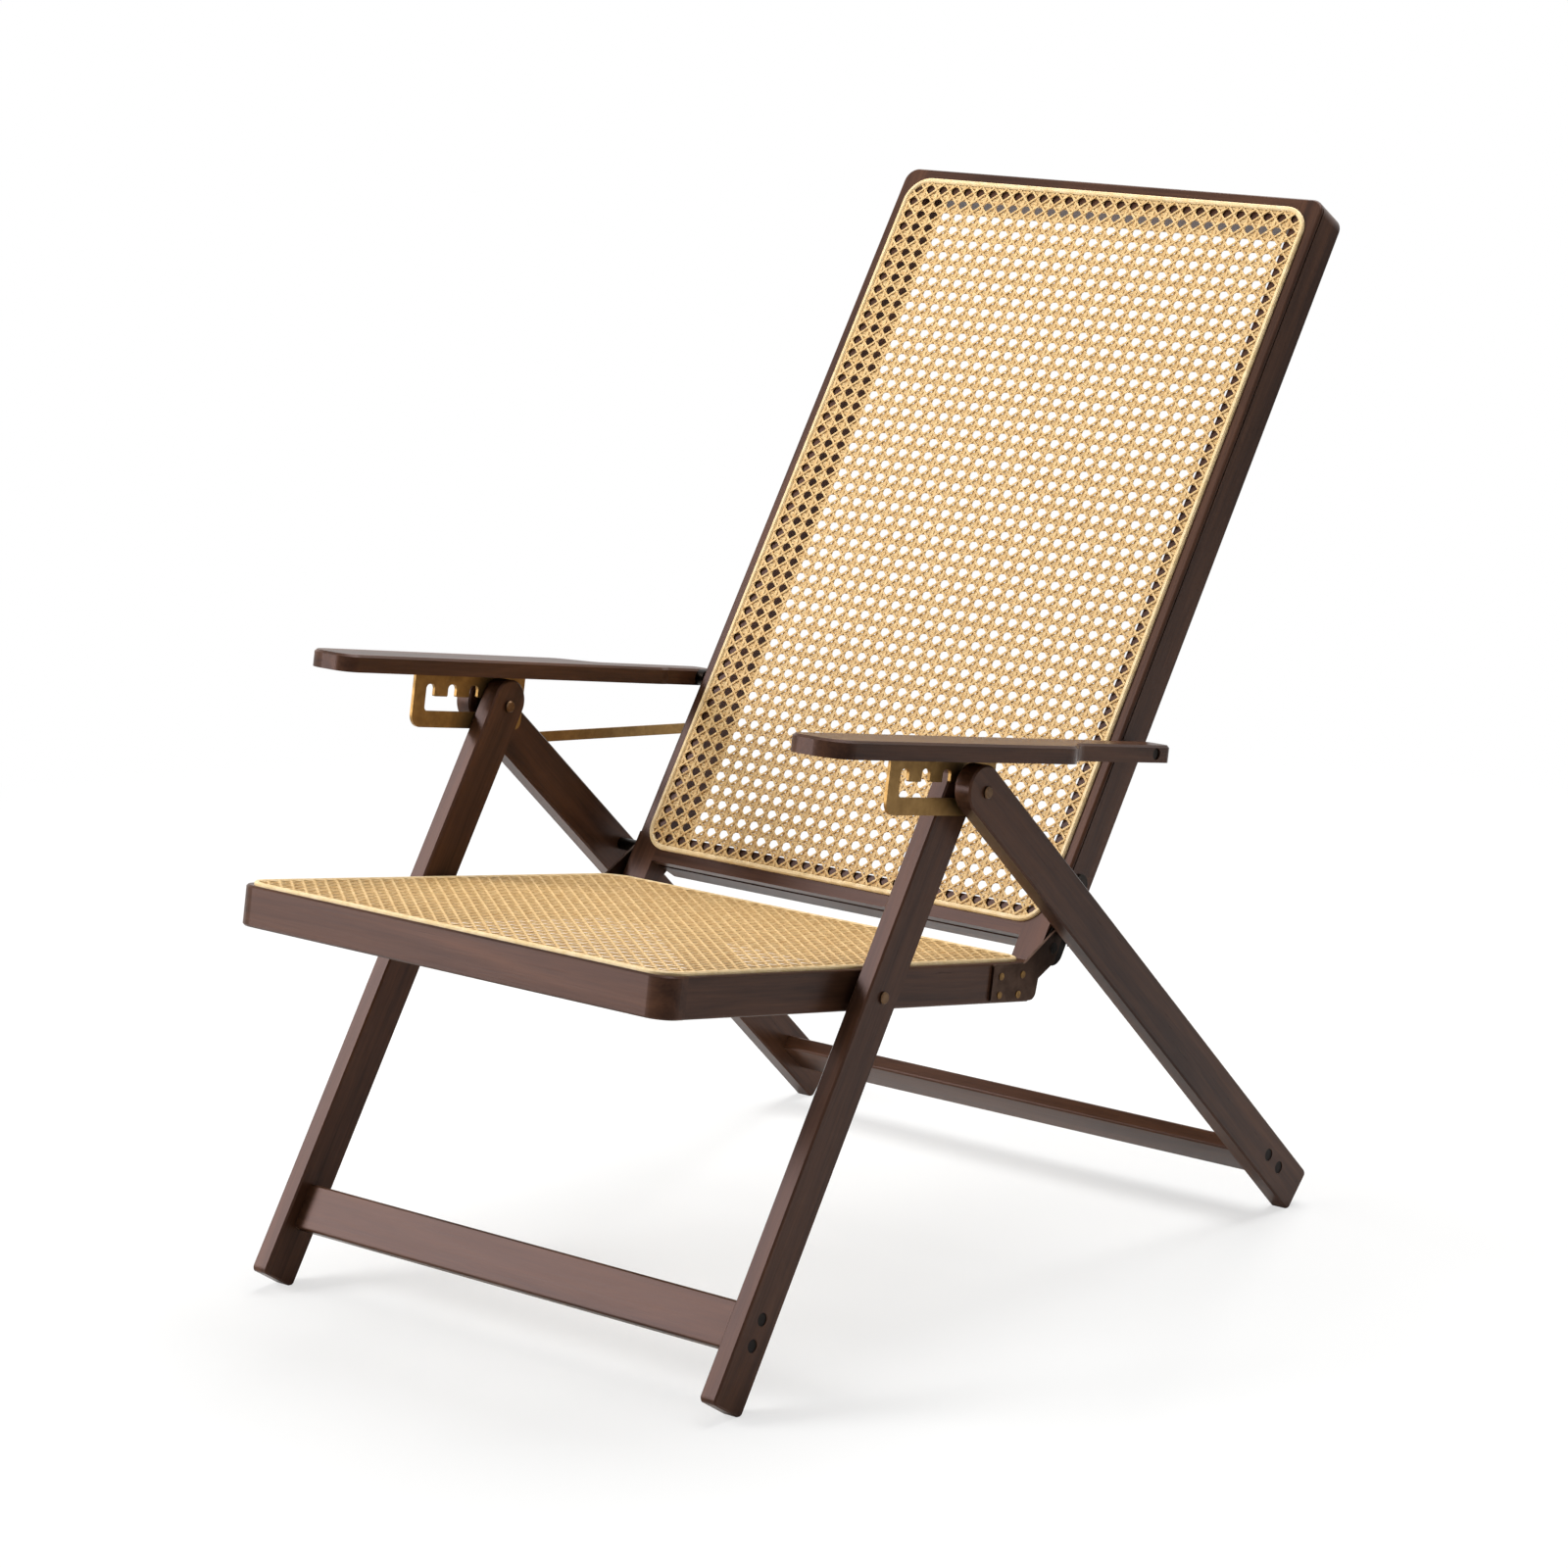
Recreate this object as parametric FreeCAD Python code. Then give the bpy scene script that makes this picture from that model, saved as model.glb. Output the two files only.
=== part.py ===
import FreeCAD, Part
import math
import os

V = FreeCAD.Vector

# Folding reclining chair with caned seat and back. Millimetres, +Z up.
# The chair faces -Y and +X is the sitter's left.

# Side profile. Front leg, seat, back and armrest are the four sides of a parallelogram.
front_lean = 33.0         # front legs, degrees back from vertical
rear_lean = 45.9          # rear legs, degrees forward from vertical
apex_height = 495.1       # pivot where front and rear legs cross
seat_pivot_drop = 199.0   # apex to seat pivot, along the front leg
link_reach = 274.5        # seat pivot to back hinge, and apex to arm pivot
link_fall = 14.2
seat_slope = 9.9          # seat falls toward the rear
back_lean = 34.0          # back, degrees from vertical

# Layers across the chair; seat_half is the middle plane to the side of the seat
seat_half = 255.0
back_inset = 3.0          # back narrower than the seat, each side
leg_gap = 7.0             # seat to front leg
leg_thickness = 18.0
plate_gap = 1.0
plate_thickness = 3.0
bush_flange = 4.9
arm_gap = 3.5             # seat to inner edge of the arm
arm_width = 57.5
tail_step = 2.5           # inner edge of the arm tail outside that of the arm
tail_width = 30.0
side_clear = 0.3          # between faces that slide past each other
run_clear = 0.05          # running fit, on the radius
set_clear = 0.02          # driven fit, on the radius
end_clear = 0.4           # before the end of a pin

# Sections
front_leg_width = 42.0
rear_leg_width = 44.0
bar_width = 43.0
bar_thickness = 15.0
front_bar_height = 68.8
rear_bar_height = 53.5
foot_round = 5.0
foot_flat = 0.8           # depth of the small flat worn on each foot
leg_cap_reach = 25.5      # leg top above the apex
edge_round = 2.5
leg_ease = 1.6            # bevel along the leg edges
rail_width = 28.0
seat_thickness = 37.0
hinge_gap = 26.7          # rear of the seat to back hinge
seat_pivot_front = 260.8  # seat front to seat pivot
seat_pivot_low = 21.0     # seat pivot below the top of the seat
seat_corner = 20.0
back_depth = 40.0
back_face = 11.0          # back hinge behind the front face
back_top = 771.0          # top of the back above the hinge
back_foot = 21.0          # back rails below the hinge
back_toe = 4.0            # depth of the foot of a back rail behind the hinge
back_taper = 30.0         # top of that tapered foot above the hinge
bottom_rail_low = 3.0
back_corner = 14.0
reveal = 1.6              # groove along the back rails
reveal_in = 3.0           # that groove behind the front face
groove_in = 10.0          # groove under the bottom rail, behind the front face
groove_width = 5.0
groove_depth = 3.0
cane_thickness = 2.5
seat_cane_margin = 3.0
back_cane_margin = 11.0
back_cane_foot = 12.0     # cane above the under side of the bottom rail
spline_width = 5.0
spline_height = 3.2
spline_corner = 26.0
net_pitch = 46.0          # widest spacing of the gaps that stand for the weave
net_gap = 0.6             # gap width as a part of the pitch
arm_thickness = 16.0
arm_ease = 2.2            # bevel round the top of the arm
arm_clear = 27.0          # underside of the arm above the apex
arm_front = 226.0
arm_tail = 23.5           # tail past the reach of the link
arm_corner = (16.0, 26.0)   # front corners, inner and outer
arm_bend = 30.0
tail_corner = 9.0
step_round = 12.0
arm_taper = (116.0, 150.0)  # where the outer edge of the arm steps in to the tail
arm_step = (212.0, 224.0)   # where the inner edge does
arm_screw_radius = 3.0
sink_radius = 5.5         # sinking for the head of the arm pivot screw
sink_depth = 4.0
tail_spacer_radius = 8.0
socket_radius = 6.0
socket_length = 14.0
notch_pitch = 29.5
notch_count = 4
notch_width = 11.6
notch_depth = 11.5
notch_round = 4.5
pin_radius = 3.5
pin_head = 5.5
head_height = 2.4
spacer_radius = 11.0
bush_radius = 5.0
flange_radius = 15.0
slot_low = 8.5            # lower edge of the slot below the pin
plate_low = 24.0
plate_front = 110.0
plate_rear = 40.0
plate_corner = (12.0, 8.0)  # lower corners, front and rear
slot_corner = 4.0
notch_lip = 1.5
ledge_width = 15.0
ledge_in = (8.0, 4.0)     # ledge short of the plate, front and rear
ledge_screw_in = 12.0
ledge_screw_middle = 38.0
ledge_screw_length = 11.0
apex_head = (3.2, 2.5)    # pin heads, inner and outer
head_ease = 1.0
hinge_pin_radius = 5.0
ear_radius = 13.0
hinge_plate = 2.6
hinge_plate_length = 60.0
hinge_plate_in = (2.0, 1.0)   # plate inside the rail, below and above
hinge_plate_round = (3.0, 8.0)
hinge_plate_past = (6.0, 10.0)  # plate past the rear of the seat, below and above
hinge_plate_screws = ((48.0, 12.0), (16.0, 11.0), (48.0, 29.0), (20.0, 29.0))  # from the rear, below the top
ear_root = (12.0, 14.0, 12.0)   # root of the ear: from the rear, below the top, radius
hook_mouth = (11.0, 40.0, 3.0)  # way out of the hook: forward, down, flare
strap_foot = (5.0, 0.0, 15.0)   # lower end of the strap: back, up, radius
strap_top = (9.0, 66.0, 10.0)
strap_spots = ((9.0, 34.0), (9.0, 58.0))
strap_head = 0.25
peg_radius = 6.0
peg_down = 254.0          # apex to rest peg, along the rear leg
peg_off = 8.0             # rest peg behind the middle of the rear leg
dowel_radius = 4.0
dowel_pitch = 24.0
dowel_reach = 22.0        # dowel length in the crossbar
dowel_sunk = 0.8          # dowel end below the outer face of the leg
plug_radius = 6.0         # wider outer end of a dowel, seen as a dark plug
plug_depth = 5.0
screw_radius = 2.0
screw_head = 3.4
screw_grip = 14.0         # screw length in the wood
screw_hole = 15.0
head_low = 0.6            # height of the low screw heads
stay_height = 10.0
stay_thickness = 2.0
stay_slope = 7.0
stay_pivot_down = 65.0
stay_reach = 268.0

back_half = seat_half - back_inset
front_leg_in = seat_half + leg_gap
front_leg_out = front_leg_in + leg_thickness
plate_in = front_leg_out + plate_gap
plate_out = plate_in + plate_thickness
flange_in = plate_out + side_clear
rear_leg_in = flange_in + bush_flange + side_clear
rear_leg_out = rear_leg_in + leg_thickness
arm_in = seat_half + arm_gap
arm_out = arm_in + arm_width
tail_in = arm_in + tail_step
tail_out = tail_in + tail_width
arm_rear = link_reach + arm_tail
slot_half = bush_radius + side_clear


def turned(y, z, degrees):
    # y, z turned about the X axis
    c = math.cos(math.radians(degrees))
    s = math.sin(math.radians(degrees))
    return (y * c - z * s, y * s + z * c)


def plus(p, q):
    return (p[0] + q[0], p[1] + q[1])


# Pivots in the side profile (y, z), with the apex at y = 0
apex = (0.0, apex_height)
seat_pivot = plus(apex, turned(0.0, -seat_pivot_drop, -front_lean))
link = (link_reach, -link_fall)
back_hinge = plus(seat_pivot, link)
arm_pivot = plus(apex, link)
rest_peg = plus(apex, turned(peg_off, -peg_down, rear_lean))
stay_pivot = plus(apex, turned(0.0, -stay_pivot_down, rear_lean))

# The arm slopes so that its pivot lies midway through its thickness
link_length = math.hypot(link_reach, link_fall)
arm_slope = math.degrees(math.asin((arm_clear + arm_thickness / 2) / link_length)
                         + math.atan2(link_fall, link_reach))
seat_front = plus(seat_pivot, turned(-seat_pivot_front, seat_pivot_low, -seat_slope))


def to_seat(p):
    # y, z measured along and up from the front top edge of the seat
    return turned(p[0] - seat_front[0], p[1] - seat_front[1], seat_slope)


hinge_y, hinge_z = to_seat(back_hinge)
peg_y, peg_z = to_seat(rest_peg)
seat_length = hinge_y - hinge_gap

nodes = {}


def outline(points):
    # closed wire through (a, b, radius) corners; the map to space comes later
    edges = []
    count = len(points)
    starts = []
    ends = []
    mids = []
    for i in range(count):
        p = V(points[i][0], points[i][1], 0)
        r = points[i][2]
        a = V(points[i - 1][0], points[i - 1][1], 0) - p
        b = V(points[(i + 1) % count][0], points[(i + 1) % count][1], 0) - p
        a.normalize()
        b.normalize()
        half = a.getAngle(b) / 2
        cut = r / math.tan(half) if r else 0.0
        starts.append(p + a * cut)
        ends.append(p + b * cut)
        way = a + b
        if r:
            way.normalize()
            mids.append(p + way * (r / math.sin(half) - r))
        else:
            mids.append(p)
    for i in range(count):
        if points[i][2]:
            edges.append(Part.Arc(starts[i], mids[i], ends[i]).toShape())
        nxt = starts[(i + 1) % count]
        if (nxt - ends[i]).Length > 1e-6:
            edges.append(Part.makeLine(ends[i], nxt))
    return Part.Wire(edges)


def slab(points, low, high):
    # outline in (x, y), thick from low to high in z
    face = Part.Face(outline(points))
    face.translate(V(0, 0, low))
    return face.extrude(V(0, 0, high - low))


def side(points, low, high):
    # outline in (y, z), thick from low to high in x
    solid = slab(points, low, high)
    return solid.transformed(FreeCAD.Matrix(0, 0, 1, 0, 1, 0, 0, 0, 0, 1, 0, 0, 0, 0, 0, 1))


def box(x0, x1, y0, y1, z0, z1):
    return Part.makeBox(x1 - x0, y1 - y0, z1 - z0, V(x0, y0, z0))


def rod(x0, x1, y, z, radius):
    return Part.makeCylinder(radius, x1 - x0, V(x0, y, z), V(1, 0, 0))


def tube(x0, x1, y, z, radius, bore):
    return rod(x0, x1, y, z, radius).cut(rod(x0, x1, y, z, bore))


def headed(x0, x1, y, z, radius, head, head_radius):
    # shank from x0 to x1 with a chamfered head outside x1
    shank = rod(x0, x1, y, z, radius)
    cap = rod(x1, x1 + head, y, z, head_radius)
    cap = ease(cap, head * 0.4, lambda b: b.XMin > x1 + head / 2)
    return shank.fuse(cap).removeSplitter()


def tapered(p, q, rp, rq, low, high):
    # flat link in (y, z) with round ends
    d = math.hypot(q[0] - p[0], q[1] - p[1])
    lean = math.asin((rp - rq) / d)
    along = math.atan2(q[1] - p[1], q[0] - p[0])
    corners = []
    for sign in (1, -1):
        t = along + sign * (math.pi / 2 - lean)
        n = (math.cos(t), math.sin(t))
        pair = [(p[0] + rp * n[0], p[1] + rp * n[1], 0), (q[0] + rq * n[0], q[1] + rq * n[1], 0)]
        corners += pair if sign == 1 else pair[::-1]
    body = side(corners, low, high)
    body = body.fuse([rod(low, high, p[0], p[1], rp), rod(low, high, q[0], q[1], rq)])
    return body.removeSplitter()


def soften(solid, radius, wanted):
    return solid.makeFillet(radius, [e for e in solid.Edges if wanted(e.BoundBox)])


def ease(solid, size, wanted):
    return solid.makeChamfer(size, [e for e in solid.Edges if wanted(e.BoundBox)])


def placed(solid, degrees, point):
    done = solid.copy()
    done.rotate(V(0, 0, 0), V(1, 0, 0), degrees)
    done.translate(V(0, point[0], point[1]))
    return done


def mirrored(solid):
    return solid.mirror(V(0, 0, 0), V(1, 0, 0))


def pair(name, solid):
    nodes[name + "_left"] = solid
    nodes[name + "_right"] = mirrored(solid)


def both(name, solids):
    # one node that groups the same small parts of both sides
    nodes[name] = Part.makeCompound(solids + [mirrored(s) for s in solids])


# Legs: square-cut feet, round tops, long edges eased
def leg(width, length, inner):
    half = width / 2
    centre = leg_cap_reach - half
    points = [(-half, -length, foot_round), (half, -length, foot_round),
              (half, centre + half, half - 0.01), (-half, centre + half, half - 0.01)]
    solid = side(points, inner, inner + leg_thickness)
    ends = (inner, inner + leg_thickness)
    return ease(solid, leg_ease, lambda b: b.XLength < 0.01 and min(abs(b.XMin - e) for e in ends) < 0.01)


def foot_length(width, lean):
    # length below the apex that lets the lower foot corner meet the floor
    reach = (width / 2 - foot_round) * math.sin(math.radians(lean)) + foot_round - foot_flat
    middle = apex_height - reach
    return middle / math.cos(math.radians(lean)) + foot_round


ground = 2 * apex_height
floor = box(-ground, ground, -ground, ground, -ground, 0)


def bar_at(height, lean):
    return (apex_height - height) / math.cos(math.radians(lean))


front_bar_down = bar_at(front_bar_height, front_lean)
rear_bar_down = bar_at(rear_bar_height, rear_lean)


def dowels(outer, down):
    ends = [down - dowel_pitch / 2, down + dowel_pitch / 2]
    return [(outer - leg_thickness - dowel_reach, outer - dowel_sunk, 0.0, -d) for d in ends]


def cut_round(solid, spots, radius):
    for x0, x1, y, z in spots:
        solid = solid.cut(rod(x0, x1, y, z, radius))
    return solid


def drilled(leg_solid, spots):
    # dowel bores through the leg, widened for the plugs at its outer face
    leg_solid = cut_round(leg_solid, spots, dowel_radius + set_clear)
    plugs = [(x1 - plug_depth, x1 + leg_thickness, y, z) for x0, x1, y, z in spots]
    return cut_round(leg_solid, plugs, plug_radius + set_clear)


def plugged(spot):
    x0, x1, y, z = spot
    return rod(x0, x1, y, z, dowel_radius).fuse(rod(x1 - plug_depth, x1, y, z, plug_radius)).removeSplitter()


def crossbar(inner, down, spots):
    low = -down - bar_width / 2
    solid = box(-inner, inner, -bar_thickness / 2, bar_thickness / 2, low, low + bar_width)
    solid = soften(solid, edge_round, lambda b: b.XLength > inner)
    solid = cut_round(solid, spots, dowel_radius + set_clear)
    return mirrored(cut_round(mirrored(solid), spots, dowel_radius + set_clear))


front_spots = dowels(front_leg_out, front_bar_down)
front_leg = leg(front_leg_width, foot_length(front_leg_width, front_lean), front_leg_in)
front_leg = drilled(front_leg, front_spots)
pivot_bore = pin_radius + run_clear
front_leg = front_leg.cut(rod(front_leg_in - 1, front_leg_out + 1, 0, 0, pivot_bore))
front_leg = front_leg.cut(rod(front_leg_in - 1, front_leg_out + 1, 0, -seat_pivot_drop, pivot_bore))
pair("front_leg", placed(front_leg, -front_lean, apex).cut(floor))
nodes["front_crossbar"] = placed(crossbar(front_leg_in, front_bar_down, front_spots), -front_lean, apex)
both("front_bar_dowels", [placed(plugged(spot), -front_lean, apex) for spot in front_spots])

rear_spots = dowels(rear_leg_out, rear_bar_down)
rear_leg = leg(rear_leg_width, foot_length(rear_leg_width, rear_lean), rear_leg_in)
rear_leg = drilled(rear_leg, rear_spots)
rear_leg = rear_leg.cut(rod(rear_leg_in - 1, rear_leg_out + 1, 0, 0, pivot_bore))
peg_root = rear_leg_in + leg_thickness / 2
rear_leg = rear_leg.cut(rod(rear_leg_in - 1, peg_root, peg_off, -peg_down, peg_radius + set_clear))
rear_leg_stay = rear_leg.cut(rod(peg_root, rear_leg_out + 1, 0, -stay_pivot_down, screw_radius + set_clear))
nodes["rear_leg_left"] = placed(rear_leg, rear_lean, apex).cut(floor)
nodes["rear_leg_right"] = mirrored(placed(rear_leg_stay, rear_lean, apex).cut(floor))
nodes["rear_crossbar"] = placed(crossbar(rear_leg_in, rear_bar_down, rear_spots), rear_lean, apex)
both("rear_bar_dowels", [placed(plugged(spot), rear_lean, apex) for spot in rear_spots])

# Rest pegs on the rear legs carry the hooked ends of the seat's hinge plates
peg_tip = seat_half + end_clear
peg = rod(peg_tip, peg_root, rest_peg[0], rest_peg[1], peg_radius)
pair("rest_peg", ease(peg, 1.0, lambda b: b.XMax < peg_tip + 0.01))

# Thin stay on the sitter's right, outside the rear leg
stay_in = rear_leg_out + side_clear
stay_tip = plus(stay_pivot, turned(stay_reach, 0, -stay_slope))
stay = tapered(stay_pivot, stay_tip, stay_height / 2, stay_height / 2, stay_in, stay_in + stay_thickness)
stay = stay.cut(rod(stay_in - 1, stay_in + stay_thickness + 1, stay_pivot[0], stay_pivot[1],
                    screw_radius + run_clear))
nodes["stay_bar"] = mirrored(stay)
nodes["stay_rivet"] = mirrored(rod(peg_root + 0.5, stay_in + stay_thickness + 0.2, stay_pivot[0],
                                   stay_pivot[1], screw_radius))

# Apex: a pin through both legs, and a flanged bush that guides the slotted plate
head_from = front_leg_in - side_clear
head_to = rear_leg_out + side_clear
apex_pin = rod(head_from, head_to, apex[0], apex[1], pin_radius)
inner_head = rod(head_from - apex_head[0], head_from, apex[0], apex[1], pin_head)
inner_head = ease(inner_head, head_ease, lambda b: b.XMax < head_from - apex_head[0] / 2)
outer_head = rod(head_to, head_to + apex_head[1], apex[0], apex[1], pin_head)
outer_head = ease(outer_head, head_ease, lambda b: b.XMin > head_to + apex_head[1] / 2)
pair("apex_pin", apex_pin.fuse([inner_head, outer_head]).removeSplitter())

bush = rod(front_leg_out + side_clear, flange_in, apex[0], apex[1], bush_radius)
flange = rod(flange_in, flange_in + bush_flange, apex[0], apex[1], flange_radius)
bush = bush.fuse(flange).removeSplitter()
pair("slot_bush", bush.cut(rod(front_leg_out, rear_leg_in, apex[0], apex[1], pivot_bore)))

# Armrest: rounded board whose narrow tail passes outside the back, with a pocket for the plate's ledge
arm_points = [(arm_in, -arm_front, arm_corner[0]), (arm_out, -arm_front, arm_corner[1]),
              (arm_out, arm_taper[0], arm_bend), (tail_out, arm_taper[1], arm_bend),
              (tail_out, arm_rear, tail_corner), (tail_in, arm_rear, tail_corner),
              (tail_in, arm_step[1], step_round), (arm_in, arm_step[0], step_round)]
arm = slab(arm_points, arm_clear, arm_clear + arm_thickness)
arm = ease(arm, arm_ease, lambda b: b.ZLength < 0.01 and b.ZMin > arm_clear + 1)
ledge_front = -plate_front + ledge_in[0]
ledge_rear = plate_rear - ledge_in[1]
ledge = (plate_in, plate_in + ledge_width, ledge_front, ledge_rear, arm_clear, arm_clear + plate_thickness)
arm = arm.cut(box(*ledge))
ledge_along = (ledge_front + ledge_screw_in, -ledge_screw_middle, ledge_rear - ledge_screw_in)
ledge_screws = [(plate_in + ledge_width * 0.6, along) for along in ledge_along]
pivot_along = math.sqrt(link_length ** 2 - (arm_clear + arm_thickness / 2) ** 2)
pivot_up = arm_clear + arm_thickness / 2
arm = arm.cut(rod(tail_in - 5, tail_out + 5, pivot_along, pivot_up, arm_screw_radius + set_clear))
arm = arm.cut(rod(tail_out - sink_depth, tail_out + 5, pivot_along, pivot_up, sink_radius))
for x, y in ledge_screws:
    arm = arm.cut(Part.makeCylinder(screw_radius + set_clear, ledge_screw_length + 1, V(x, y, arm_clear)))
pair("armrest", placed(arm, -arm_slope, apex))

# Notch plate: slotted brass sheet with a ledge let into the underside of the arm
plate_points = [(-plate_front, arm_clear, 0), (-plate_front, -plate_low, plate_corner[0]),
                (plate_rear, -plate_low, plate_corner[1]), (plate_rear, arm_clear, 0)]
plate = side(plate_points, plate_in, plate_out)
slot_front = -notch_pitch * (notch_count - 1) - notch_width / 2
slot_points = [(slot_front, -slot_low, slot_corner), (notch_width / 2, -slot_low, slot_corner)]
for i in range(notch_count):
    middle = -notch_pitch * i
    for end in (1, -1):
        high = (middle + end * notch_width / 2, slot_half + notch_depth, notch_round)
        foot = (middle + end * notch_width / 2, slot_half, notch_lip)
        first = i == 0 and end == 1
        last = i == notch_count - 1 and end == -1
        if first or last:
            slot_points.append(high)
        else:
            slot_points += [foot, high] if end == 1 else [high, foot]
plate = plate.cut(side(slot_points, plate_in - 1, plate_out + 1))
plate = plate.fuse(box(*ledge)).removeSplitter()
for x, y in ledge_screws:
    plate = plate.cut(Part.makeCylinder(screw_radius + set_clear, ledge_screw_length, V(x, y, arm_clear - 1)))
pair("notch_plate", placed(plate, -arm_slope, apex))


def ledge_screw(x, y):
    shank = Part.makeCylinder(screw_radius, ledge_screw_length, V(x, y, arm_clear))
    head = Part.makeCone(screw_head * 0.7, screw_head * 0.9, 1.0, V(x, y, arm_clear - 1.0))
    return placed(shank.fuse(head).removeSplitter(), -arm_slope, apex)


pair("plate_screws", Part.makeCompound([ledge_screw(x, y) for x, y in ledge_screws]))

# Arm pivot: a sunk screw and a spacer turn on the tail; the socket for them sits in the back rail
tail_gap = back_half + end_clear
sink_floor = tail_out - sink_depth
arm_screw = rod(tail_gap, sink_floor, arm_pivot[0], arm_pivot[1], arm_screw_radius)
sunk_head = rod(sink_floor, tail_out - sink_depth / 3, arm_pivot[0], arm_pivot[1], sink_radius - run_clear)
pair("arm_pivot_screw", arm_screw.fuse(sunk_head).removeSplitter())
pair("arm_pivot_spacer", tube(tail_gap, tail_in, arm_pivot[0], arm_pivot[1], tail_spacer_radius,
                              arm_screw_radius + set_clear))
both("arm_pivot_sockets", [tube(back_half - socket_length, back_half, arm_pivot[0], arm_pivot[1],
                                socket_radius, arm_screw_radius + side_clear)])

# Seat frame, drawn flat with its front top edge at the origin and its top at z = 0
side_rail = box(seat_half - rail_width, seat_half, rail_width, seat_length, -seat_thickness, 0)
side_rail = soften(side_rail, edge_round, lambda b: b.YLength > seat_length / 2 and b.XMin > seat_half - 1)
local_pivot = (seat_pivot_front, -seat_pivot_low)
side_rail = side_rail.cut(rod(seat_half - screw_hole, seat_half + 1, local_pivot[0], local_pivot[1],
                              pin_radius + set_clear))
front_rail = slab([(-seat_half, 0, seat_corner), (seat_half, 0, seat_corner), (seat_half, rail_width, 0),
                   (-seat_half, rail_width, 0)], -seat_thickness, 0)
front_rail = ease(front_rail, leg_ease, lambda b: b.ZLength < 0.01 and b.YMin < rail_width - 1)
rear_rail = box(-seat_half + rail_width, seat_half - rail_width, seat_length - rail_width, seat_length,
                -seat_thickness, 0)
rear_rail = soften(rear_rail, edge_round, lambda b: b.XLength > seat_half and b.YMin > seat_length - 1)
plate_spots = [(seat_length - back, -low) for back, low in hinge_plate_screws]
for y, z in plate_spots:
    side_rail = side_rail.cut(rod(seat_half - screw_hole, seat_half + 1, y, z, screw_radius + set_clear))


def ring(x, y0, y1, corner, width, low, high):
    # rounded rectangular bead
    outer = slab([(-x, y0, corner), (x, y0, corner), (x, y1, corner), (-x, y1, corner)], low, high)
    rim = corner - width
    x -= width
    y0 += width
    y1 -= width
    inner = slab([(-x, y0, rim), (x, y0, rim), (x, y1, rim), (-x, y1, rim)], low - 1, high + 1)
    bead = outer.cut(inner)
    return ease(bead, width * 0.25, lambda b: b.ZLength < 0.01 and b.ZMin > (low + high) / 2)


def net(x, y0, y1, corner, low, high):
    # one holed sheet: square gaps on a regular grid
    sheet = outline([(-x, y0, corner), (x, y0, corner), (x, y1, corner), (-x, y1, corner)])
    wires = [sheet]
    across = round((2 * x - corner) / net_pitch)
    along = round((y1 - y0 - corner) / net_pitch)
    step_x = (2 * x - corner) / across
    step_y = (y1 - y0 - corner) / along
    gap_x = step_x * net_gap / 2
    gap_y = step_y * net_gap / 2
    for i in range(across):
        for j in range(along):
            cx = -x + corner / 2 + step_x * (i + 0.5)
            cy = y0 + corner / 2 + step_y * (j + 0.5)
            spots = [V(cx - gap_x, cy - gap_y, 0), V(cx + gap_x, cy - gap_y, 0),
                     V(cx + gap_x, cy + gap_y, 0), V(cx - gap_x, cy + gap_y, 0)]
            wires.append(Part.makePolygon(spots + spots[:1]))
    face = Part.makeFace(wires, "Part::FaceMakerBullseye")
    face.translate(V(0, 0, low))
    return face.extrude(V(0, 0, high - low))


def seat_place(solid):
    return placed(solid, -seat_slope, seat_front)


cane_x = seat_half - seat_cane_margin
cane_end = seat_length - seat_cane_margin
nodes["seat_front_rail"] = seat_place(front_rail)
nodes["seat_rear_rail"] = seat_place(rear_rail)
pair("seat_side_rail", seat_place(side_rail))
nodes["seat_spline"] = seat_place(ring(cane_x, seat_cane_margin, cane_end, spline_corner, spline_width,
                                       0, spline_height))
inset = spline_width + side_clear
nodes["seat_cane"] = seat_place(net(cane_x - inset, seat_cane_margin + inset, cane_end - inset,
                                    spline_corner - inset, 0, cane_thickness))

# Seat pivots: a screw through the front leg and a spacer against the seat rail
head_out = front_leg_out + side_clear
pair("seat_pivot_screw", headed(seat_half - screw_grip, head_out, seat_pivot[0], seat_pivot[1], pin_radius,
                                head_height, pin_head))
pair("seat_pivot_spacer", tube(seat_half, front_leg_in - side_clear, seat_pivot[0], seat_pivot[1],
                               spacer_radius, pin_radius + set_clear))


# Hinge plates on the seat rails: an ear for the back hinge and a hook that drops over the rest peg
plate_from = seat_length - hinge_plate_length
plate_floor = hinge_plate_in[0] - seat_thickness
plate_x = (seat_half, seat_half + hinge_plate)
hinge = side([(plate_from, plate_floor, hinge_plate_round[0]),
              (seat_length + hinge_plate_past[0], plate_floor, hinge_plate_round[1]),
              (seat_length + hinge_plate_past[1], -hinge_plate_in[1], 0),
              (plate_from, -hinge_plate_in[1], hinge_plate_round[0])], *plate_x)
root = (seat_length - ear_root[0], -ear_root[1])
hinge = hinge.fuse([tapered(root, (hinge_y, hinge_z), ear_root[2], ear_radius, *plate_x),
                    tapered((hinge_y, hinge_z), (peg_y, peg_z), ear_radius, ear_radius, *plate_x)])
hinge = hinge.removeSplitter()
hook_half = peg_radius + side_clear
way_out = (-hook_mouth[0], -hook_mouth[1])
mouth = tapered((0, 0), way_out, hook_half, hook_half + hook_mouth[2], plate_x[0] - 1, plate_x[1] + 1)
mouth.translate(V(0, peg_y, peg_z))
hinge = hinge.cut(mouth)
hinge_bore = hinge_pin_radius + run_clear
hinge = hinge.cut(rod(plate_x[0] - 1, plate_x[1] + 1, hinge_y, hinge_z, hinge_bore))
for y, z in plate_spots:
    hinge = hinge.cut(rod(plate_x[0] - 1, plate_x[1] + 1, y, z, screw_radius + set_clear))
pair("seat_hinge_plate", seat_place(hinge))


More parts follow.
